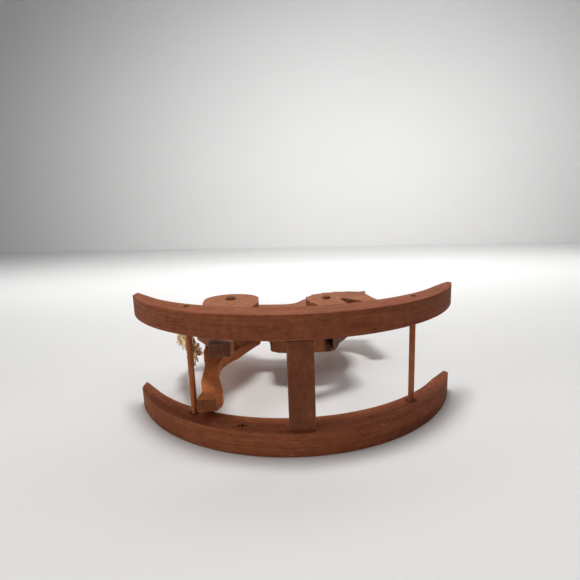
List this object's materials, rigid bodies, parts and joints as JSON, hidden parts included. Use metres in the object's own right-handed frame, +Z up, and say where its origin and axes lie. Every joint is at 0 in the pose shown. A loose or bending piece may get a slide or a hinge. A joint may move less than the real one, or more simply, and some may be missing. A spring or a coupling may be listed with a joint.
{
  "type": "rocking horse toy",
  "caption": "Board-cut wooden horse standing on its hind hooves between two curved rockers joined by dowels and a flat slat, with pegged legs, saw-tooth mane and twine tail.",
  "frame": {"origin": "on the floor, midway between the rockers, at the lowest point of the running arc", "axes": "+X towards the horse's head, +Y to the horse's left, +Z up"},
  "size_m": [0.371, 0.136, 0.333],
  "materials": {
    "rocker_wood": "satin",
    "dowel_wood": "satin",
    "slat_wood": "satin",
    "horse_wood": "satin",
    "leg_wood": "satin",
    "peg_wood": "satin",
    "steel_brad": "satin",
    "twine": "matte",
    "thread": "matte"
  },
  "bodies": {
    "horse_on_rockers": {"rocker_left": "rocker_wood", "rocker_right": "rocker_wood", "rear_cross_dowel": "dowel_wood", "front_cross_dowel": "dowel_wood", "centre_slat": "slat_wood", "slat_pins": "dowel_wood", "horse_body": "horse_wood", "hind_leg_left": "leg_wood", "hind_leg_right": "leg_wood", "hip_peg_left": "peg_wood", "hip_peg_right": "peg_wood", "hip_brads": "steel_brad", "hoof_pin_left": "dowel_wood", "hoof_pin_right": "dowel_wood", "shoulder_peg_left": "peg_wood", "shoulder_peg_right": "peg_wood", "shoulder_brads": "steel_brad", "tail_plug": "dowel_wood", "tail_strand_ends": "twine"},
    "fore_leg_left": {"fore_leg_left": "leg_wood"},
    "fore_leg_right": {"fore_leg_right": "leg_wood"},
    "tail": {"tail_hank": "twine", "tail_binding": "thread"}
  },
  "joints": [
    {"name": "fore_leg_left_swing", "type": "hinge", "parent": "horse_on_rockers", "child": "fore_leg_left", "pos_m": [0.05, 0.0279, 0.223], "axis": [0, 1, 0], "range_deg": [-80, 25]},
    {"name": "fore_leg_right_swing", "type": "hinge", "parent": "horse_on_rockers", "child": "fore_leg_right", "pos_m": [0.05, -0.0279, 0.223], "axis": [0, 1, 0], "range_deg": [-75, 30]},
    {"name": "tail_swing", "type": "hinge", "parent": "horse_on_rockers", "child": "tail", "pos_m": [-0.1382, 0, 0.231], "axis": [0, 1, 0], "range_deg": [-3, 22], "stiffness_Nm_per_rad": 0.04}
  ]
}
